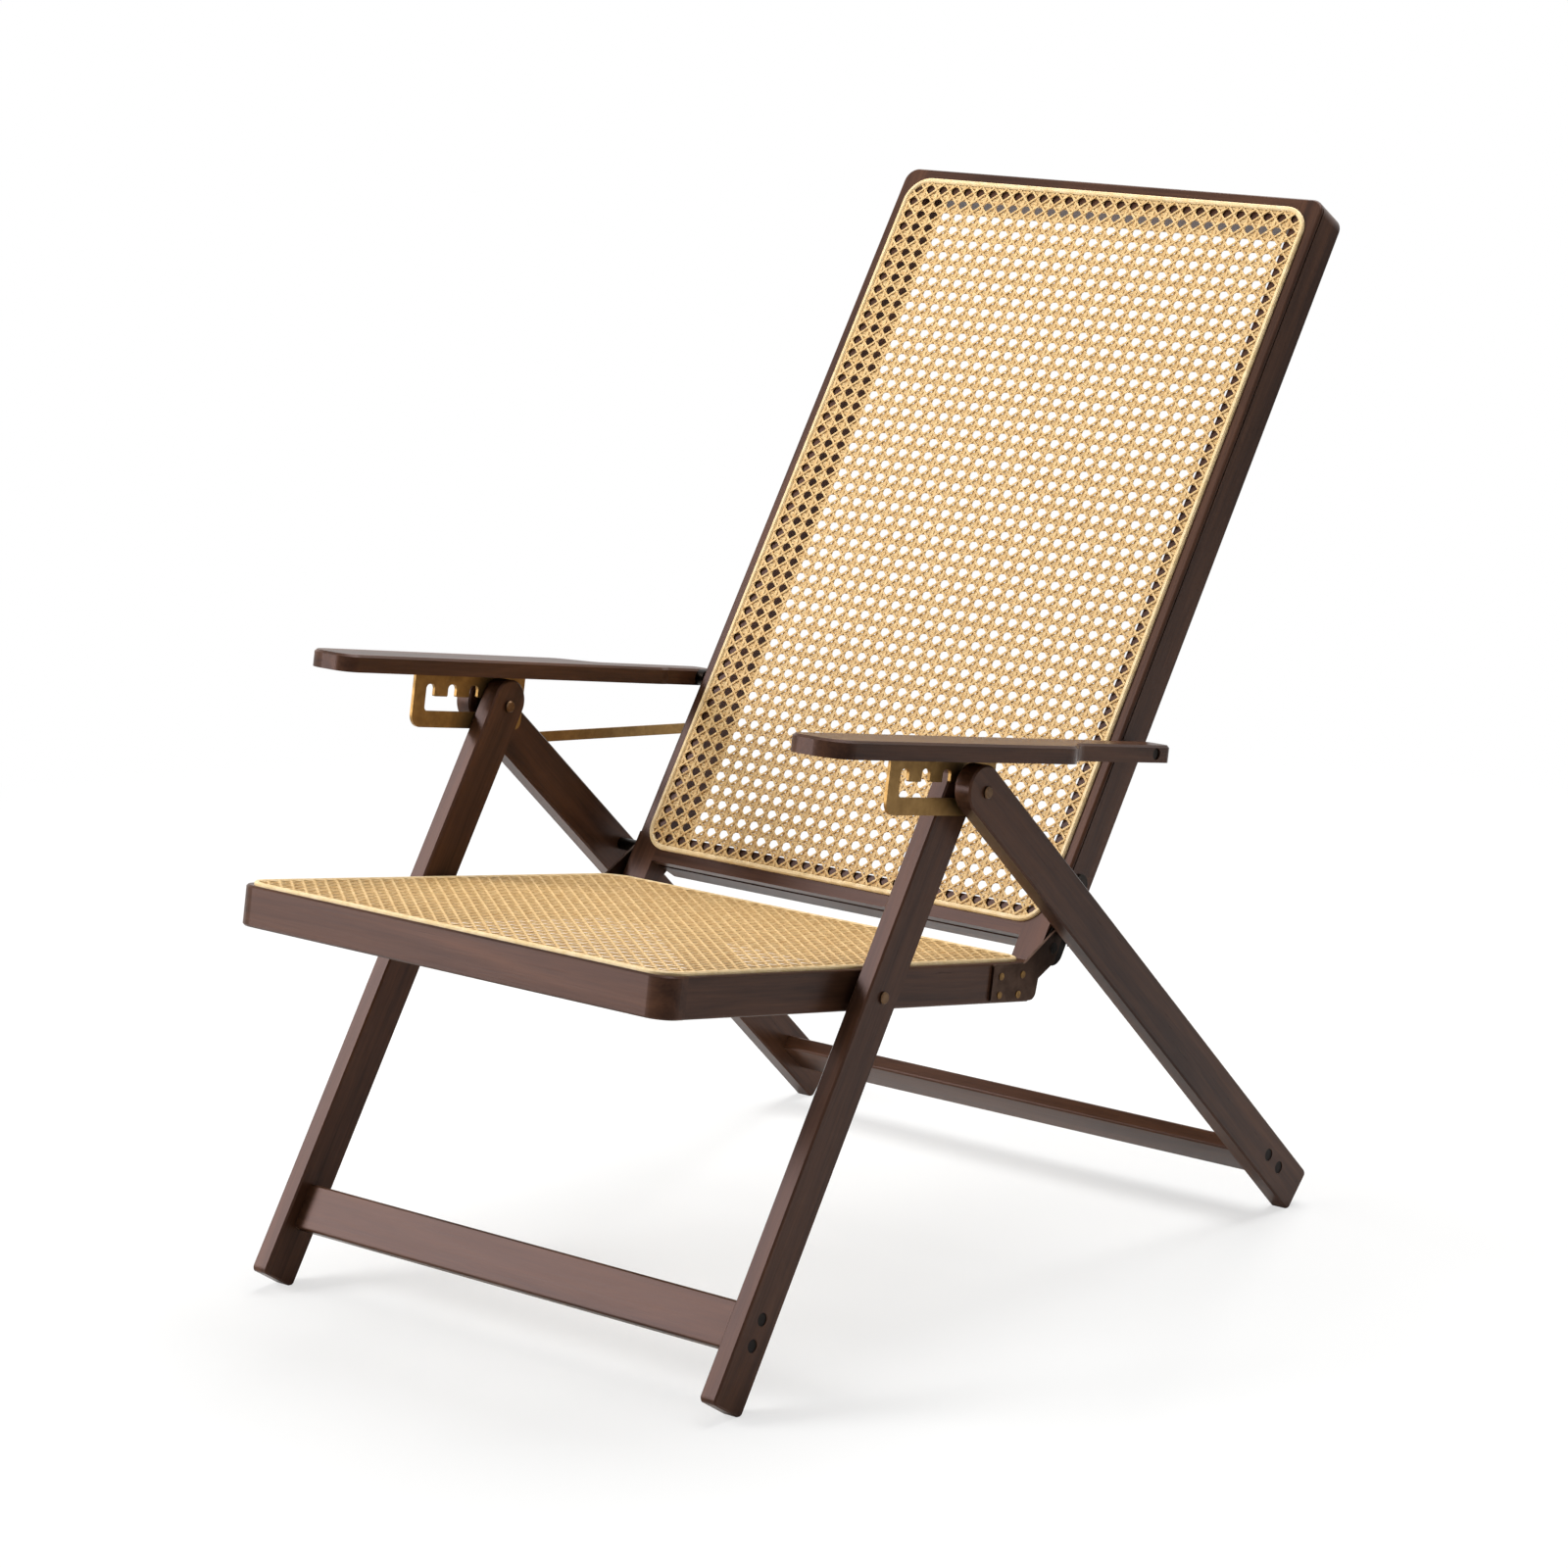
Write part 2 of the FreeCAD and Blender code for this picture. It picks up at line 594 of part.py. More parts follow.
def plate_screw(y, z):
    shank = rod(seat_half - screw_grip, plate_x[1], y, z, screw_radius)
    head = rod(plate_x[1], plate_x[1] + head_low, y, z, screw_head)
    return seat_place(shank.fuse(head).removeSplitter())


both("seat_plate_screws", [plate_screw(y, z) for y, z in plate_spots])

# Back hinge pins
both("back_hinge_pins", [rod(back_half - screw_hole, plate_x[1] + end_clear, back_hinge[0], back_hinge[1],
                             hinge_pin_radius)])

# Back frame, drawn upright with the hinge at the origin: y is depth, z runs up the back
face_y = -back_face
rear_y = back_depth - back_face
rail = box(back_half - rail_width, back_half, face_y, rear_y, 0, back_top)
rail = soften(rail, back_corner, lambda b: b.ZMin > back_top - 1 and b.YLength > 1 and b.XMin > back_half - 1)
rail = soften(rail, edge_round, lambda b: b.ZLength > back_top / 2 and b.XMin > back_half - 1)
lower = side([(face_y, -back_foot, 2), (back_toe, -back_foot, 10), (rear_y, back_taper, 0),
              (face_y, back_taper, 0)], back_half - rail_width, back_half)
upper = rail.cut(box(0, 2 * back_half, -back_depth, back_depth, -1, back_taper))
rail = upper.fuse(lower).removeSplitter()
rail = rail.cut(box(back_half - reveal, back_half + 1, face_y + reveal_in,
                    face_y + reveal_in + reveal, back_taper, back_top))
rail = rail.cut(rod(back_half - screw_hole - 1, back_half + 1, 0, 0, hinge_bore))
socket_y, socket_z = turned(arm_pivot[0] - back_hinge[0], arm_pivot[1] - back_hinge[1], back_lean)
rail = rail.cut(rod(back_half - socket_length, back_half + 1, socket_y, socket_z, socket_radius + set_clear))
for y, z in strap_spots:
    rail = rail.cut(rod(back_half - screw_hole, back_half + 1, y, z, screw_radius + set_clear))

between = back_half - rail_width
top_rail = box(-between, between, face_y, rear_y, back_top - rail_width, back_top)
top_rail = soften(top_rail, edge_round, lambda b: b.XLength > back_half and b.ZMin > back_top - 1)
bottom_rail = box(-between, between, face_y, rear_y, bottom_rail_low, bottom_rail_low + rail_width)
groove_y = face_y + groove_in
bottom_rail = bottom_rail.cut(box(-back_half, back_half, groove_y, groove_y + groove_width,
                                  bottom_rail_low - 1, bottom_rail_low + groove_depth))


def back_place(solid):
    return placed(solid, -back_lean, back_hinge)


pair("back_side_rail", back_place(rail))
nodes["back_top_rail"] = back_place(top_rail)
nodes["back_bottom_rail"] = back_place(bottom_rail)


def on_back(solid):
    # a flat piece drawn in (x, y) laid on the front face of the back
    stood = solid.copy()
    stood.rotate(V(0, 0, 0), V(1, 0, 0), 90)
    stood.translate(V(0, face_y, 0))
    return back_place(stood)


cane_low = bottom_rail_low + back_cane_foot
cane_high = back_top - back_cane_margin
back_x = back_half - back_cane_margin
nodes["back_spline"] = on_back(ring(back_x, cane_low, cane_high, spline_corner, spline_width,
                                    0, spline_height))
nodes["back_cane"] = on_back(net(back_x - inset, cane_low + inset, cane_high - inset, spline_corner - inset,
                                 0, cane_thickness))

# Straps on the back rails, round the hinge pins
strap_x = (back_half, back_half + hinge_plate)
strap = tapered(strap_foot[:2], strap_top[:2], strap_foot[2], strap_top[2], *strap_x)
strap = strap.cut(rod(strap_x[0] - 1, strap_x[1] + 1, 0, 0, hinge_bore))
for y, z in strap_spots:
    strap = strap.cut(rod(strap_x[0] - 1, strap_x[1] + 1, y, z, screw_radius + set_clear))
pair("back_hinge_strap", back_place(strap))
both("strap_screws", [back_place(rod(back_half - screw_grip, strap_x[1] + strap_head, y, z, screw_radius))
                      for y, z in strap_spots])

# Stand the chair over the middle of its floor space and write each node
bounds = [s.optimalBoundingBox(False) for s in nodes.values()]
middle_y = (min(b.YMin for b in bounds) + max(b.YMax for b in bounds)) / 2
os.makedirs("parts", exist_ok=True)
for name, solid in nodes.items():
    moved = solid.copy()
    moved.translate(V(0, -middle_y, 0))
    solids = moved.Solids
    shape = solids[0] if len(solids) == 1 else Part.makeCompound(solids)
    shape.exportStep("parts/%s.step" % name)

# Sizes and pivots for the record
notch_travel = notch_pitch * (notch_count - 1)
apex_to_hinge = math.hypot(back_hinge[0] - apex[0], back_hinge[1] - apex[1])


def hinge_angle(travel):
    # angle at the back hinge between apex and arm pivot, with the arm slid back by travel
    a2 = (pivot_along + travel) ** 2 + pivot_up ** 2
    b2 = apex_to_hinge ** 2 + seat_pivot_drop ** 2
    return math.degrees(math.acos((b2 - a2) / (2 * apex_to_hinge * seat_pivot_drop)))


def arm_angle(travel):
    # slope of the arm, as an angle above level, with the back leaned to match
    swing = hinge_angle(travel) - hinge_angle(0)
    leaned = turned(arm_pivot[0] - back_hinge[0], arm_pivot[1] - back_hinge[1], -swing)
    tail = plus(back_hinge, leaned)
    rise = math.atan2(tail[1] - apex[1], tail[0] - apex[0])
    return math.degrees(rise - math.atan2(pivot_up, pivot_along + travel))


recline = hinge_angle(notch_travel) - hinge_angle(0)
arm_turn = arm_angle(notch_travel) - arm_angle(0)
front_foot = turned(front_leg_width / 2 - foot_round, -foot_length(front_leg_width, front_lean) + foot_round,
                    -front_lean)
for label, p in (("apex", apex), ("seat_pivot", seat_pivot), ("back_hinge", back_hinge),
                 ("arm_pivot", arm_pivot), ("rest_peg", rest_peg), ("stay_pivot", stay_pivot)):
    print(label, round(p[0] - middle_y, 4), round(p[1], 4))
print("middle_y", round(middle_y, 4), "arm_slope", round(arm_slope, 4))
print("recline", round(recline, 3), "arm_turn", round(arm_turn, 3), "travel", notch_travel)
print("front foot", round(front_foot[0] - middle_y, 3))
spans = [(min(getattr(b, k + "Min") for b in bounds), max(getattr(b, k + "Max") for b in bounds))
         for k in "XYZ"]
print("size", [round(high - low, 2) for low, high in spans])
print("nodes", len(nodes), "solids", sum(len(s.Solids) for s in nodes.values()))
bad = [n for n, s in nodes.items() if not s.isValid() or not s.Solids]
print("invalid", bad)
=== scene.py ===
# %% [markdown]
# A folding reclining chair: dark varnished wood, woven cane on seat and back, small brass fittings.
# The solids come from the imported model, so every board is already at its real size and place.
# This lesson dresses them: it weaves the cane, gives each finish a procedural material, and sets
# the floor, the lights and the camera.

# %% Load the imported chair
import math

import bpy
from mathutils import Euler, Matrix, Vector


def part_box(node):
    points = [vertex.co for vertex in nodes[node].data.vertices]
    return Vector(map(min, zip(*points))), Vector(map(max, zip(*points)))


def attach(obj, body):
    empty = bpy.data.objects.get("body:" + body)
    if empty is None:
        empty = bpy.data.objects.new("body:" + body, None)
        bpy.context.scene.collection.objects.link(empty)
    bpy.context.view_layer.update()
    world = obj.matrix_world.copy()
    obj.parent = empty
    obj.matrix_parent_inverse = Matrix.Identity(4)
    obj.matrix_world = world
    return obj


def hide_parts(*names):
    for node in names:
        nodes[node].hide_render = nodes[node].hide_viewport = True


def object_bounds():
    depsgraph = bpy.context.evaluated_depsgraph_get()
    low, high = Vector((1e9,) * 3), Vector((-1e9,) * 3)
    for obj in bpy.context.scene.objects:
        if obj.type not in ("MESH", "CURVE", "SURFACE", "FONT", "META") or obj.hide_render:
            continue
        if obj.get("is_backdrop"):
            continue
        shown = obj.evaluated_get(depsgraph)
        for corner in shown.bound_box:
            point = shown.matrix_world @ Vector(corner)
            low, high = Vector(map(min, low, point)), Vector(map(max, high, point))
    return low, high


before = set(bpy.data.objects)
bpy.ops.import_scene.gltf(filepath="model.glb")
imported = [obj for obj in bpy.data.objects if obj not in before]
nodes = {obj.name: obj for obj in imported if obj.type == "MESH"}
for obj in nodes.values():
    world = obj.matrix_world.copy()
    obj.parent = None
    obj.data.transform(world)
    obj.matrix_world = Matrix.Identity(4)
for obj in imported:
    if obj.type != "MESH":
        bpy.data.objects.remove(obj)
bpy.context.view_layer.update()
bpy.context.scene.view_settings.view_transform = "Standard"

# %% [markdown]
# Every operator acts on whatever is selected, and the import leaves the solids selected. So a
# small helper clears the selection before each new piece, and another makes one piece active.


# %% Helpers for selecting
def nothing_selected():
    if bpy.context.object and bpy.context.object.mode != "OBJECT":
        bpy.ops.object.mode_set(mode="OBJECT")
    bpy.ops.object.select_all(action="DESELECT")


def only(piece):
    nothing_selected()
    piece.select_set(True)
    bpy.context.view_layer.objects.active = piece


# faces are picked as faces, so that a strand's two ends don't take its sides with them
bpy.context.tool_settings.mesh_select_mode = (False, False, True)
print("solids to dress:", len(nodes))

# %% [markdown]
# The cane is an open weave. Pairs of strands run both ways, and two diagonals cut the corners of
# each square, which leaves rows of eight-sided holes. One hole with its share of the strands is
# the smallest part that repeats, so only that tile is modelled, a strand at a time, from a cube.
# Split cane is flat below and rounded above, so the top face is cut along the middle and the cut is
# raised by the crown. Each strand loses its end faces, because the next tile carries it on.

# %% One strand of cane
strand_thick = 0.00045
strand_crown = 0.0003
flat_facing = 0.9     # a face whose normal has more than this share of an axis looks along it
same_place = 1e-6     # vertices closer than this to a cut lie on it


def strand(centre, length, width, crown, turn=0.0, waves=()):
    # a crowned ribbon along local X; waves lists (place along it, lift) for the over and under
    nothing_selected()
    bpy.ops.mesh.primitive_cube_add(size=1.0, location=(0, 0, 0))
    ribbon = bpy.context.object
    ribbon.scale = (length, width, strand_thick)
    bpy.ops.object.transform_apply(location=False, rotation=False, scale=True)
    bpy.ops.object.mode_set(mode="EDIT")
    bpy.ops.mesh.select_all(action="DESELECT")
    bpy.ops.object.mode_set(mode="OBJECT")
    for face in ribbon.data.polygons:
        face.select = face.normal.z > flat_facing
    bpy.ops.object.mode_set(mode="EDIT")
    bpy.ops.mesh.bisect(plane_co=(0, 0, 0), plane_no=(0, 1, 0))
    for place, lift in waves:
        bpy.ops.mesh.select_all(action="SELECT")
        bpy.ops.mesh.bisect(plane_co=(place, 0, 0), plane_no=(1, 0, 0))
    bpy.ops.mesh.select_all(action="DESELECT")
    bpy.ops.object.mode_set(mode="OBJECT")
    for face in ribbon.data.polygons:
        face.select = abs(face.normal.x) > flat_facing
    bpy.ops.object.mode_set(mode="EDIT")
    bpy.ops.mesh.delete(type="FACE")
    bpy.ops.object.mode_set(mode="OBJECT")
    for vertex in ribbon.data.vertices:
        if abs(vertex.co.y) < same_place:
            vertex.co.z += crown
        for place, lift in waves:
            if abs(vertex.co.x - place) < same_place:
                vertex.co.z += lift
    ribbon.rotation_euler = (0, 0, turn)
    ribbon.location = centre
    bpy.ops.object.transform_apply(location=True, rotation=True, scale=True)
    return ribbon


print("a strand is", strand_thick * 1000, "mm thick")

# %% [markdown]
# In the weave the left strand of each upright pair lies lowest and the right one highest, and the
# level strands pass between them, over one and under the other. The diagonals lie on top.
# The tile's size comes from the panel, divided into a whole number of holes near the usual pitch.

# %% The repeating tile
hole_pitch = (0.0157, 0.0145)
pair_gap = 0.0003
strand_share = 0.18                 # width of a strand as a part of the pitch
upright_heights = (0.0004, 0.0015)  # left and right strand of a pair, above the under side
level_height = 0.00095
level_sway = 0.0003                 # a level strand's rise and fall over and under the uprights
cross_heights = (0.0020, 0.0024)    # the two diagonals


def cane_tile(step_x, step_y, cross_width, cross_crown):
    upright = strand_share * step_x
    level = strand_share * step_y
    beside_x = step_x / 2 - pair_gap / 2 - upright / 2
    beside_y = step_y / 2 - pair_gap / 2 - level / 2
    made = []
    for place, height in zip((beside_x, -beside_x), upright_heights):
        made.append(strand((place, 0, height), step_y, upright, strand_crown, math.pi / 2))
    sway = ((-beside_x, -level_sway), (beside_x, level_sway))
    for side in (-1, 1):
        made.append(strand((0, side * beside_y, level_height), step_x, level, strand_crown, 0.0, sway))
    long = math.hypot(step_x, step_y) / 2
    lean = math.atan2(step_y, step_x)
    for sx in (-1, 1):
        for sy in (-1, 1):
            falling = sx * sy > 0
            centre = (sx * step_x / 4, sy * step_y / 4, cross_heights[0 if falling else 1])
            made.append(strand(centre, long, cross_width, cross_crown, -lean if falling else lean))
    only(made[0])
    for ribbon in made[1:]:
        ribbon.select_set(True)
    bpy.ops.object.join()
    return bpy.context.object


print("holes about", hole_pitch[0] * 1000, "by", hole_pitch[1] * 1000, "mm apart")

# %% [markdown]
# Two Array modifiers repeat the tile across and along the panel. Then the corners are trimmed to
# the round of the bead that holds the cane down, and the sheet is turned to the slope of its frame.

# %% Weave a panel
weld_within = 0.00001  # ends of neighbouring tiles closer than this become one
trim_past = 0.001      # strands may reach this far under the bead
smooth_under = math.radians(50)


def weave(name, width, length, corner, cross_width, cross_crown):
    across = round(width / hole_pitch[0])
    along = round(length / hole_pitch[1])
    step_x = width / across
    step_y = length / along
    panel = cane_tile(step_x, step_y, cross_width, cross_crown)
    panel.name = name
    for count, offset in ((across, (step_x, 0, 0)), (along, (0, step_y, 0))):
        array = panel.modifiers.new("repeat", "ARRAY")
        array.count = count
        array.use_relative_offset = False
        array.use_constant_offset = True
        array.constant_offset_displace = offset
        only(panel)
        bpy.ops.object.modifier_apply(modifier=array.name)
    panel.location = (-width / 2 + step_x / 2, step_y / 2, 0)
    bpy.ops.object.transform_apply(location=True, rotation=False, scale=False)
    bpy.ops.object.mode_set(mode="EDIT")
    bpy.ops.mesh.select_all(action="SELECT")
    bpy.ops.mesh.remove_doubles(threshold=weld_within)
    bpy.ops.mesh.normals_make_consistent(inside=False)
    bpy.ops.mesh.select_all(action="DESELECT")
    bpy.ops.object.mode_set(mode="OBJECT")
    for face in panel.data.polygons:
        out_x = abs(face.center.x) - (width / 2 - corner)
        out_y = abs(face.center.y - length / 2) - (length / 2 - corner)
        face.select = out_x > 0 and out_y > 0 and math.hypot(out_x, out_y) > corner + trim_past
    bpy.ops.object.mode_set(mode="EDIT")
    bpy.ops.mesh.delete(type="FACE")
    bpy.ops.object.mode_set(mode="OBJECT")
    bpy.ops.object.shade_smooth_by_angle(angle=smooth_under)
    print(name, across, "by", along, "holes,", len(panel.data.polygons), "faces")
    return panel


def set_panel(panel, turn, edge):
    # turn about X, then move the panel's near edge to its place
    panel.rotation_euler = (turn, 0, 0)
    panel.location = edge
    only(panel)
    bpy.ops.object.transform_apply(location=True, rotation=True, scale=False)


# %% [markdown]
# The seat falls 9.9 degrees toward the rear and the back leans 34 degrees. The boxes of the two
# cane solids then give the edge that each woven panel starts from, and its true length. The photograph
# sees the seat almost edge-on, so its diagonals are made wider and rounder there, or they wouldn't show.

# %% Cane for the seat and the back
seat_slope = math.radians(9.9)
back_lean = math.radians(34.0)
cane_thick = 0.0025
cane_corner = 0.0207
seat_cross = (0.0029, 0.0004)        # width and crown of the diagonals
back_cross = (0.0020, strand_crown)

low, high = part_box("seat_cane")
seat_length = (high.y - low.y - cane_thick * math.sin(seat_slope)) / math.cos(seat_slope)
seat_cane = weave("seat_cane_weave", high.x - low.x, seat_length, cane_corner, *seat_cross)
set_panel(seat_cane, -seat_slope, (0, low.y, high.z - cane_thick * math.cos(seat_slope)))
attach(seat_cane, "seat")
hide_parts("seat_cane")

low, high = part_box("back_cane")
back_length = (high.z - low.z - cane_thick * math.sin(back_lean)) / math.cos(back_lean)
back_cane = weave("back_cane_weave", high.x - low.x, back_length, cane_corner, *back_cross)
set_panel(back_cane, math.pi / 2 - back_lean, (0, low.y + cane_thick * math.cos(back_lean), low.z))
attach(back_cane, "back")
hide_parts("back_cane")

# %% [markdown]
# Colours are written as they look on a screen. Shaders want linear values, so a helper turns one
# into the other. A second helper adds a node and fills its inputs, which keeps the cells short.


# %% Helpers for materials
def tint(text):
    values = [int(text[i:i + 2], 16) / 255 for i in (0, 2, 4)]
    return tuple(v / 12.92 if v <= 0.04045 else ((v + 0.055) / 1.055) ** 2.4 for v in values) + (1.0,)


def node(tree, kind, **inputs):
    made = tree.nodes.new(kind)
    for key, value in inputs.items():
        made.inputs[key.replace("_", " ")].default_value = value
    return made


def new_group(name, ins, outs):
    group = bpy.data.node_groups.new(name, "ShaderNodeTree")
    for label, kind, value in ins:
        socket = group.interface.new_socket(label, in_out="INPUT", socket_type="NodeSocket" + kind)
        if value is not None:
            socket.default_value = value
    for label, kind in outs:
        group.interface.new_socket(label, in_out="OUTPUT", socket_type="NodeSocket" + kind)
    return group, group.nodes.new("NodeGroupInput"), group.nodes.new("NodeGroupOutput")


wood_dark = "261811"
wood_light = "563928"
print("dark wood as linear colour:", [round(v, 3) for v in tint(wood_dark)])

# %% [markdown]
# Wood grain is long in one direction: fine pores and broader, wavering bands of colour. The group
# takes coordinates whose X runs along the board, squeezes them, and mixes two noises.
# It puts out a colour, a roughness and a height, and each board turns the coordinates its own way.

# %% Wood grain group
grain, grain_in, grain_out = new_group(
    "wood_grain",
    [("Vector", "Vector", None), ("Dark", "Color", tint(wood_dark)), ("Light", "Color", tint(wood_light))],
    [("Color", "Color"), ("Roughness", "Float"), ("Height", "Float")])
squeeze = node(grain, "ShaderNodeMapping", Scale=(3.0, 38.0, 38.0))
bands = node(grain, "ShaderNodeTexNoise", Scale=1.0, Detail=5.0, Roughness=0.6, Distortion=0.6)
fine = node(grain, "ShaderNodeMapping", Scale=(14.0, 420.0, 420.0))
pores = node(grain, "ShaderNodeTexNoise", Scale=1.0, Detail=3.0, Roughness=0.7)
blend = node(grain, "ShaderNodeMath")
blend.operation = "MULTIPLY_ADD"
blend.inputs[1].default_value = 0.35
ramp = grain.nodes.new("ShaderNodeValToRGB")
ramp.color_ramp.elements[0].position = 0.45
ramp.color_ramp.elements[1].position = 0.95
colour = grain.nodes.new("ShaderNodeMix")
colour.data_type = "RGBA"
gloss = node(grain, "ShaderNodeMapRange", To_Min=0.24, To_Max=0.36)
for a, b in ((grain_in.outputs["Vector"], squeeze.inputs["Vector"]),
             (grain_in.outputs["Vector"], fine.inputs["Vector"]),
             (squeeze.outputs[0], bands.inputs["Vector"]),
             (fine.outputs[0], pores.inputs["Vector"]),
             (pores.outputs["Fac"], blend.inputs[0]),
             (bands.outputs["Fac"], blend.inputs[2]),
             (blend.outputs[0], ramp.inputs["Fac"]),
             (ramp.outputs["Color"], colour.inputs["Factor"]),
             (grain_in.outputs["Dark"], colour.inputs["A"]),
             (grain_in.outputs["Light"], colour.inputs["B"]),
             (pores.outputs["Fac"], gloss.inputs["Value"]),
             (gloss.outputs[0], grain_out.inputs["Roughness"]),
             (pores.outputs["Fac"], grain_out.inputs["Height"])):
    grain.links.new(a, b)
grain.links.new(colour.outputs["Result"], grain_out.inputs["Color"])
print("grain group nodes:", len(grain.nodes))

# %% [markdown]
# A board's material turns the coordinates so that the grain follows the board: legs, rails and
# arms each lean by their own angle. The place is shifted too, or all boards would match.


# %% Dark varnished wood
def dark_wood(name, turn, shift):
    material = bpy.data.materials.new(name)
    material.use_nodes = True
    tree = material.node_tree
    shader = tree.nodes["Principled BSDF"]
    shader.inputs["Specular IOR Level"].default_value = 0.2
    shader.inputs["Specular Tint"].default_value = tint("f4ccc8")
    place = tree.nodes.new("ShaderNodeTexCoord")
    turned = node(tree, "ShaderNodeMapping", Rotation=turn, Location=(shift, shift * 0.7, -shift))
    board = tree.nodes.new("ShaderNodeGroup")
    board.node_tree = grain
    bump = node(tree, "ShaderNodeBump", Strength=0.12, Distance=0.0006)
    tree.links.new(place.outputs["Object"], turned.inputs["Vector"])
    tree.links.new(turned.outputs[0], board.inputs["Vector"])
    tree.links.new(board.outputs["Color"], shader.inputs["Base Color"])
    tree.links.new(board.outputs["Roughness"], shader.inputs["Roughness"])
    tree.links.new(board.outputs["Height"], bump.inputs["Height"])
    tree.links.new(bump.outputs[0], shader.inputs["Normal"])
    return material


def paint(material, *names):
    for name in names:
        mesh = nodes[name].data
        mesh.materials.clear()
        mesh.materials.append(material)


def sides(*names):
    return [name + "_" + side for name in names for side in ("left", "right")]


along_x = (0.0, 0.0, 0.0)


def board_turn(degrees):
    # turns Y, tipped up by this angle, onto X
    level_out = Euler((math.radians(-degrees), 0, 0)).to_matrix()
    return tuple((Matrix.Rotation(math.radians(-90), 3, "Z") @ level_out).to_euler("XYZ"))


paint(dark_wood("wood_front_legs", board_turn(57.0), 0.3), *sides("front_leg"))
paint(dark_wood("wood_rear_legs", board_turn(-44.1), 0.9), *sides("rear_leg"))
paint(dark_wood("wood_seat_rails", board_turn(-9.9), 1.7), *sides("seat_side_rail"))
paint(dark_wood("wood_back_rails", board_turn(56.0), 2.3), *sides("back_side_rail"))
paint(dark_wood("wood_arms", board_turn(-10.3), 3.1), *sides("armrest"))
paint(dark_wood("wood_cross_rails", along_x, 4.2), "front_crossbar", "rear_crossbar", "seat_front_rail",
      "seat_rear_rail", "back_top_rail", "back_bottom_rail")
print("boards painted:", len([m for m in bpy.data.materials if m.name.startswith("wood")]), "woods")

# %% [markdown]
# Cane is the shiny outer skin of rattan: pale gold, with slightly browner patches. Its bead is a
# peeled reed, paler and more matt. Both share a mottle group that mixes two tones by a soft noise.

# %% Mottle group, cane and bead
mottle, mottle_in, mottle_out = new_group(
    "mottle",
    [("Scale", "Float", 60.0), ("Tone A", "Color", (1, 1, 1, 1)), ("Tone B", "Color", (1, 1, 1, 1))],
    [("Color", "Color"), ("Mask", "Float")])
spots = mottle.nodes.new("ShaderNodeTexCoord")
cloud = node(mottle, "ShaderNodeTexNoise", Detail=4.0, Roughness=0.65)
mixed = mottle.nodes.new("ShaderNodeMix")
mixed.data_type = "RGBA"
spread = node(mottle, "ShaderNodeMapRange", From_Min=0.35, From_Max=0.65)
for a, b in ((spots.outputs["Object"], cloud.inputs["Vector"]),
             (mottle_in.outputs["Scale"], cloud.inputs["Scale"]),
             (cloud.outputs["Fac"], spread.inputs["Value"]),
             (spread.outputs[0], mixed.inputs["Factor"]),
             (mottle_in.outputs["Tone A"], mixed.inputs["A"]),
             (mottle_in.outputs["Tone B"], mixed.inputs["B"]),
             (mixed.outputs["Result"], mottle_out.inputs["Color"]),
             (spread.outputs[0], mottle_out.inputs["Mask"])):
    mottle.links.new(a, b)


def mottled(name, tone_a, tone_b, scale, rough, metal=0.0, grain_depth=0.0, shine=0.5):
    material = bpy.data.materials.new(name)
    material.use_nodes = True
    tree = material.node_tree
    shader = tree.nodes["Principled BSDF"]
    shader.inputs["Metallic"].default_value = metal
    shader.inputs["Specular IOR Level"].default_value = shine
    patch = tree.nodes.new("ShaderNodeGroup")
    patch.node_tree = mottle
    patch.inputs["Scale"].default_value = scale
    patch.inputs["Tone A"].default_value = tint(tone_a)
    patch.inputs["Tone B"].default_value = tint(tone_b)
    worn = node(tree, "ShaderNodeMapRange", To_Min=rough[0], To_Max=rough[1])
    tree.links.new(patch.outputs["Color"], shader.inputs["Base Color"])
    tree.links.new(patch.outputs["Mask"], worn.inputs["Value"])
    tree.links.new(worn.outputs[0], shader.inputs["Roughness"])
    if grain_depth:
        bump = node(tree, "ShaderNodeBump", Strength=0.3, Distance=grain_depth)
        tree.links.new(patch.outputs["Mask"], bump.inputs["Height"])
        tree.links.new(bump.outputs[0], shader.inputs["Normal"])
    return material


cane_skin = mottled("cane_skin", "dcbc84", "bf975b", 240.0, (0.5, 0.65))
for panel in (seat_cane, back_cane):
    panel.data.materials.clear()
    panel.data.materials.append(cane_skin)
paint(mottled("peeled_reed", "e8cfa2", "d9bb85", 90.0, (0.45, 0.6), grain_depth=0.0003),
      "seat_spline", "back_spline")
print("cane tones set on", seat_cane.name, "and", back_cane.name)

# %% [markdown]
# The fittings are aged brass plates and screw heads, dull bronze pivots and hinge plates, and
# blackened pins and spacers. All are the same mottle with other tones: metal is a shader value, not a
# colour, and a metal tints what it mirrors, so its tones are those of the bare metal.

# %% Metal fittings
paint(mottled("aged_brass", "8f7044", "7d6038", 70.0, (0.40, 0.5), 1.0, 0.0001),
      *sides("notch_plate"), "stay_bar")
paint(mottled("screw_brass", "846538", "57412a", 200.0, (0.3, 0.45), 1.0),
      *sides("plate_screws"), "seat_plate_screws", "stay_rivet")
paint(mottled("pivot_bronze", "67503a", "4b3828", 160.0, (0.28, 0.4), 1.0),
      *sides("apex_pin", "seat_pivot_screw"))
paint(mottled("dark_bronze", "46342a", "38281f", 90.0, (0.34, 0.46), 1.0, 0.0001),
      *sides("seat_hinge_plate"))
paint(mottled("black_metal", "241e1a", "17130f", 120.0, (0.3, 0.45), 1.0),
      *sides("slot_bush", "seat_pivot_spacer", "back_hinge_strap", "rest_peg", "arm_pivot_spacer",
             "arm_pivot_screw"), "back_hinge_pins", "strap_screws", "arm_pivot_sockets")
